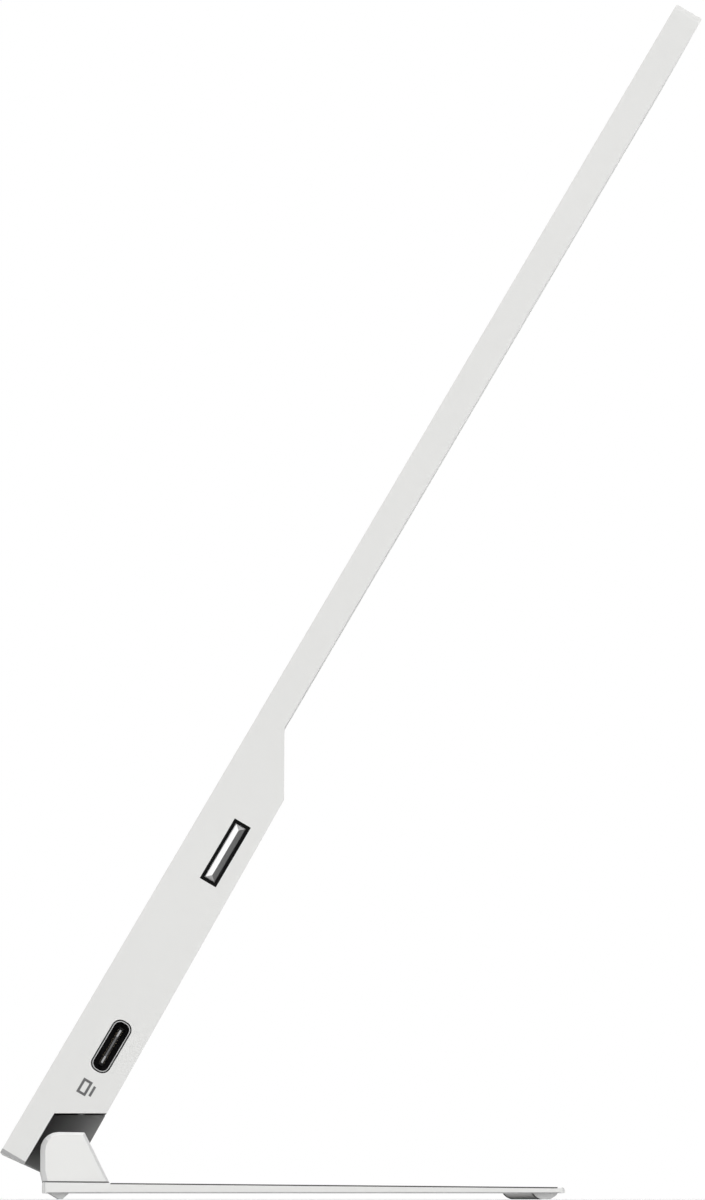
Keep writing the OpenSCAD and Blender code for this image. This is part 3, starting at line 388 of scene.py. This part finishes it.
# The joint under each arm is painted as a dark line of shade along the slightly tilted top of the
# plate.
arm_coat = stand_coat("arm_coat")
plate_tilt = math.radians(0.53)
plate_up = Vector((0, math.sin(plate_tilt), math.cos(plate_tilt)))
plate_front_ahead_of_axis = 3.15 * mm
plate_front_height = 2.67 * mm
plate_front = Vector((0, hinge[1] - plate_front_ahead_of_axis, plate_front_height))
joint_height = 0.21 * mm
tree = arm_coat.node_tree
above_plate = plane_distance(tree, plate_up, plate_front)
overpaint(arm_coat, arithmetic(tree, "LESS_THAN", above_plate, joint_height), paint(0.58))
dress(arm_coat, "hinge_arm_right", "hinge_arm_left")
# Thin soft mat on which the folded display rests
dress(
    grained(
        "mat_rubber", paint(0.30), paint(0.26),
        rough=0.85, fine_mm=0.35, broad_mm=12, bump_mm=0.05, specular=0.3,
    ),
    "base_mat",
)
dress(
    grained(
        "foot_rubber", paint(0.83), paint(0.80),
        rough=0.75, fine_mm=0.3, broad_mm=8, bump_mm=0.03, specular=0.3,
    ),
    "front_foot_strip", "rear_foot_strip",
)

# ---------- Hinge ----------
# Dark moulded bar that hides the two friction hinges in the notch of the housing.
# Its ends are painted darkest, as shade, in the narrow gap behind the lip of the housing, and
# painted paler towards the back and at the lower edge, as the light that comes back from the foot
# plate.
lip_v = 4.2 * mm
lip_shade_depth = 7.0 * mm
low_edge_from_u = 4.5 * mm
low_edge_to_u = 0.5 * mm
cover_grain = grained(
    "hinge_cover_grain", paint(0.30), paint(0.26),
    rough=0.42, fine_mm=0.2, broad_mm=9, bump_mm=0.012,
)
tree = cover_grain.node_tree
behind_lip = ramp(tree, display_distance(tree, along_v, lip_v), 0.0, lip_shade_depth)
# Painted shade behind the lip, painted light at the lower edge
overpaint(cover_grain, behind_lip.outputs["Result"], paint(0.57))
low_edge = ramp(tree, display_distance(tree, along_u, 0.0), low_edge_from_u, low_edge_to_u)
overpaint(cover_grain, low_edge.outputs["Result"], paint(0.47))
dress(cover_grain, "hinge_cover")
# Turned and pressed steel of the hinges and of all screws
dress(
    grained(
        "hinge_steel", paint(0.62), paint(0.52),
        rough=0.34, fine_mm=0.12, broad_mm=3, bump_mm=0.01, metal=1.0,
    ),
    "hinge_shaft_right", "hinge_shaft_left", "friction_washers_right", "friction_washers_left",
    "hinge_nut_right", "hinge_nut_left", "hinge_bracket_right", "hinge_bracket_left",
    "hinge_screws", "arm_screws", "chassis_screws", "board_screws",
)

# ---------- Screen ----------
# Black moulded frame round a panel of glass, films, light guide and lamp strip in a metal tray.
# The glass has an anti-glare coat. It is off, so the picture is a very dark blue grey, with a
# black border printed inside the glass all round it.
dress(
    grained(
        "frame_grain", paint(0.07), paint(0.055),
        rough=0.5, fine_mm=0.2, broad_mm=25, bump_mm=0.01, specular=0.35,
    ),
    "front_bezel",
)
picture_half_w = 154.7 * mm
picture_half_h = 87.0 * mm
picture_middle_u = 114.5 * mm
panel_coat = grained(
    "panel_coat", paint(0.125, 0.13, 0.145), paint(0.11, 0.115, 0.13),
    rough=0.3, fine_mm=0.09, broad_mm=60, bump_mm=0.004, specular=0.3,
)
tree = panel_coat.node_tree
sideways = display_offset(tree, along_x, 0.0)
upwards = display_offset(tree, along_u, picture_middle_u)
beyond_side = arithmetic(tree, "GREATER_THAN", sideways, picture_half_w)
beyond_end = arithmetic(tree, "GREATER_THAN", upwards, picture_half_h)
overpaint(panel_coat, arithmetic(tree, "MAXIMUM", beyond_side, beyond_end), paint(0.03))
dress(panel_coat, "lcd_cell")
# Layers behind the glass: white diffusing film, clear guide, lamp strip, tray and foam tape. The
# chassis plate behind them is rolled like the tray.
dress(
    grained(
        "diffuser_film", paint(0.93), paint(0.9),
        rough=0.6, fine_mm=0.3, broad_mm=20, bump_mm=0.004,
    ),
    "optical_sheets",
)
dress(
    grained(
        "guide_acrylic", paint(0.8, 0.9, 0.92), paint(0.76, 0.88, 0.9),
        rough=0.12, fine_mm=0.8, broad_mm=20, bump_mm=0.002,
    ),
    "light_guide",
)
dress(
    grained(
        "lamp_strip", paint(0.95, 0.88, 0.5), paint(0.9, 0.8, 0.4),
        rough=0.4, fine_mm=0.8, broad_mm=4, bump_mm=0.02,
    ),
    "led_strip",
)
dress(
    grained(
        "rolled_aluminium", paint(0.78), paint(0.72),
        rough=0.38, fine_mm=0.15, broad_mm=14, bump_mm=0.006, metal=1.0,
    ),
    "panel_tray", "chassis_plate",
)
dress(
    grained(
        "foam_tape", paint(0.16), paint(0.12),
        rough=0.95, fine_mm=0.3, broad_mm=4, bump_mm=0.06, specular=0.2,
    ),
    "panel_tape",
)

# ---------- Electronics ----------
# Green glass-fibre boards with black moulded parts, amber flexes, a tinned shield and ivory
# connectors, inside the thick lower part of the housing.
dress(
    grained(
        "solder_resist", paint(0.1, 0.32, 0.2), paint(0.08, 0.27, 0.17),
        rough=0.35, fine_mm=0.6, broad_mm=6, bump_mm=0.012,
    ),
    "timing_board", "main_board", "port_board",
)
dress(
    grained(
        "moulding_compound", paint(0.1), paint(0.08),
        rough=0.5, fine_mm=0.2, broad_mm=4, bump_mm=0.01,
    ),
    "timing_chips", "board_chips", "key_switch_right", "key_switch_left",
    "power_key_plunger", "menu_key_plunger",
)
dress(
    grained(
        "flex_film", paint(0.6, 0.36, 0.12), paint(0.55, 0.3, 0.1),
        rough=0.3, fine_mm=0.5, broad_mm=8, bump_mm=0.006,
    ),
    "panel_flexes", "panel_cable", "board_link_cable",
)
dress(
    grained(
        "tinned_sheet", paint(0.75), paint(0.68),
        rough=0.3, fine_mm=0.2, broad_mm=8, bump_mm=0.01, metal=1.0,
    ),
    "board_shield",
)
dress(
    grained(
        "ivory_plastic", paint(0.92, 0.9, 0.82), paint(0.88, 0.86, 0.77),
        rough=0.45, fine_mm=0.3, broad_mm=4, bump_mm=0.01,
    ),
    "board_connectors",
)

# ---------- Ports ----------
# USB-C ports: drawn steel shells round black moulded tongues, which have gold contact pads and a
# steel middle plate. Behind its bright rim each shell is painted dark as shade, and so is the
# rim's rounded outer edge.
rim_x = 161.37 * mm
corner_r = 1.05 * mm
opening_half_v = 1.28 * mm
opening_half_u = 4.17 * mm
bright_rim = 0.11 * mm
drawn_steel = grained(
    "drawn_steel", paint(0.64), paint(0.54),
    rough=0.3, fine_mm=0.1, broad_mm=3, bump_mm=0.008, metal=1.0,
)
tree = drawn_steel.node_tree
beyond_straight = []
for direction, middle, half in (
    (along_v, port_v, opening_half_v),
    (along_u, port_u, opening_half_u),
):
    away = display_offset(tree, direction, middle)
    beyond = arithmetic(tree, "SUBTRACT", away, half - corner_r)
    past = arithmetic(tree, "MAXIMUM", beyond, 0.0)
    beyond_straight.append(arithmetic(tree, "MULTIPLY", past, past))
from_core = arithmetic(tree, "SQRT", arithmetic(tree, "ADD", *beyond_straight))
outer_edge = arithmetic(tree, "GREATER_THAN", from_core, corner_r + bright_rim)
behind_rim = arithmetic(tree, "LESS_THAN", display_offset(tree, along_x, 0.0), rim_x)
overpaint(drawn_steel, arithmetic(tree, "MAXIMUM", behind_rim, outer_edge), paint(0.25))
dress(drawn_steel, "usb_c_shell_right", "usb_c_shell_left")
dress(
    grained(
        "tongue_plastic", paint(0.05), paint(0.04),
        rough=0.5, fine_mm=0.15, broad_mm=2, bump_mm=0.006, specular=0.15,
    ),
    "usb_c_tongue_right", "usb_c_tongue_left",
)


# Adds a block to a mesh, from its middle and its sizes
def add_block(mesh, middle, size):
    made = bmesh.ops.create_cube(mesh, size=1.0)
    bmesh.ops.scale(mesh, vec=size, verts=made["verts"])
    bmesh.ops.translate(mesh, vec=middle, verts=made["verts"])


# Turns a mesh drawn in the display's frame into a piece that rides on the display
def display_piece(name, mesh, material, mirrored):
    if mirrored:
        bmesh.ops.scale(mesh, vec=(-1, 1, 1), verts=mesh.verts)
        bmesh.ops.reverse_faces(mesh, faces=mesh.faces)
    bmesh.ops.transform(mesh, matrix=display_place, verts=mesh.verts)
    data = bpy.data.meshes.new(name)
    mesh.to_mesh(data)
    mesh.free()
    data.materials.append(material)
    piece = bpy.data.objects.new(name, data)
    bpy.context.scene.collection.objects.link(piece)
    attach(piece, "display")


tongue_tip = 160.5 * mm
tongue_half_t = 0.35 * mm
pad_count = 12
pad_pitch = 0.5 * mm
pad_size = (2.6 * mm, 0.02 * mm, 0.27 * mm)
pad_from_tip = 2.3 * mm
contact_gold = grained(
    "contact_gold", paint(0.64, 0.58, 0.46), paint(0.56, 0.50, 0.39),
    rough=0.3, fine_mm=0.1, broad_mm=1.5, bump_mm=0.004, metal=1.0,
)


def contact_pads():
    pads = bmesh.new()
    for face in (-1, 1):
        for i in range(pad_count):
            u = port_u + (i - (pad_count - 1) / 2) * pad_pitch
            v = port_v + face * (tongue_half_t + pad_size[1] / 2)
            add_block(pads, (tongue_tip - pad_from_tip, v, u), pad_size)
    return pads


# The steel plate in the middle of the tongue shows as a thin line along its tip. It is paler at
# its two ends.
plate_size = (1.08 * mm, 0.3 * mm, 5.9 * mm)
plate_from_tip = 0.5 * mm
worn_from = 1.8 * mm
plate_steel = grained(
    "plate_steel", paint(0.34), paint(0.26),
    rough=0.3, fine_mm=0.1, broad_mm=0.9, bump_mm=0.004, metal=1.0,
)
tree = plate_steel.node_tree
from_middle = display_offset(tree, along_u, port_u)
overpaint(plate_steel, arithmetic(tree, "GREATER_THAN", from_middle, worn_from), paint(0.50))


def middle_plate():
    plate = bmesh.new()
    add_block(plate, (tongue_tip - plate_from_tip, port_v, port_u), plate_size)
    return plate


sides = (("right", False), ("left", True))
for side, mirrored in sides:
    display_piece("contact_pads_" + side, contact_pads(), contact_gold, mirrored)
    display_piece("middle_plate_" + side, middle_plate(), plate_steel, mirrored)

# ---------- Port marks ----------
# A small sign printed in grey ink on the housing below each port: the outline of a screen with a
# base line.
sign_x = 161.51 * mm
outline_v = 6.2 * mm
base_line_v = 7.6 * mm
sign_u = 15.55 * mm
outline_w = 2.5 * mm
outline_h = 1.6 * mm
base_line_w = 1.75 * mm
stroke = 0.4 * mm
ink_t = 0.02 * mm
mark_ink = grained(
    "mark_ink", paint(0.40), paint(0.36),
    rough=0.6, fine_mm=0.1, broad_mm=2, bump_mm=0.002,
)


def port_mark():
    sign = bmesh.new()
    for end in (-1, 1):
        long_v = outline_v + end * (outline_h - stroke) / 2
        short_u = sign_u + end * (outline_w - stroke) / 2
        add_block(sign, (sign_x, long_v, sign_u), (ink_t, stroke, outline_w))
        add_block(sign, (sign_x, outline_v, short_u), (ink_t, outline_h - 2 * stroke, stroke))
    add_block(sign, (sign_x, base_line_v, sign_u), (ink_t, stroke, base_line_w))
    return sign


for side, mirrored in sides:
    display_piece("port_mark_" + side, port_mark(), mark_ink, mirrored)

# ---------- Side keys ----------
# Two keys with hipped caps of polished metal in black satin frames, whose black stands for the
# shadow in the gap round each cap. Light and shade on the caps are painted: the slope towards
# the screen keeps the bright metal colour as a painted reflection, the slope towards the back is
# painted dark and the two end slopes a grey between them.
key_v = 6.58 * mm
key_u = 58.35 * mm
key_half_w = 0.81 * mm
key_half_l = 4.775 * mm
key_hip = 0.72 * mm
key_metal_painted_reflection = grained(
    "key_metal_painted_reflection", paint(0.92), paint(0.90),
    rough=0.38, fine_mm=0.12, broad_mm=5, bump_mm=0.002, metal=0.6,
)
tree = key_metal_painted_reflection.node_tree
across = display_distance(tree, along_v, key_v)
from_side = arithmetic(tree, "SUBTRACT", key_half_w, arithmetic(tree, "ABSOLUTE", across))
from_end = arithmetic(tree, "SUBTRACT", key_half_l, display_offset(tree, along_u, key_u))
rise_side = arithmetic(tree, "DIVIDE", from_side, key_half_w)
rise_end = arithmetic(tree, "DIVIDE", from_end, key_hip)
# Painted shade on the back slope and painted grey on the end slopes
overpaint(key_metal_painted_reflection, arithmetic(tree, "GREATER_THAN", across, 0.0), paint(0.43))
overpaint(key_metal_painted_reflection, arithmetic(tree, "LESS_THAN", rise_end, rise_side), paint(0.68))
dress(key_metal_painted_reflection, "power_key", "menu_key")
# The black of the key frames stands for the shadow in the gap round each cap.
dress(
    grained(
        "trim_black_gap_shade", paint(0.03), paint(0.02),
        rough=0.6, fine_mm=0.2, broad_mm=6, bump_mm=0.006, specular=0.08,
    ),
    "key_trim_right", "key_trim_left",
)
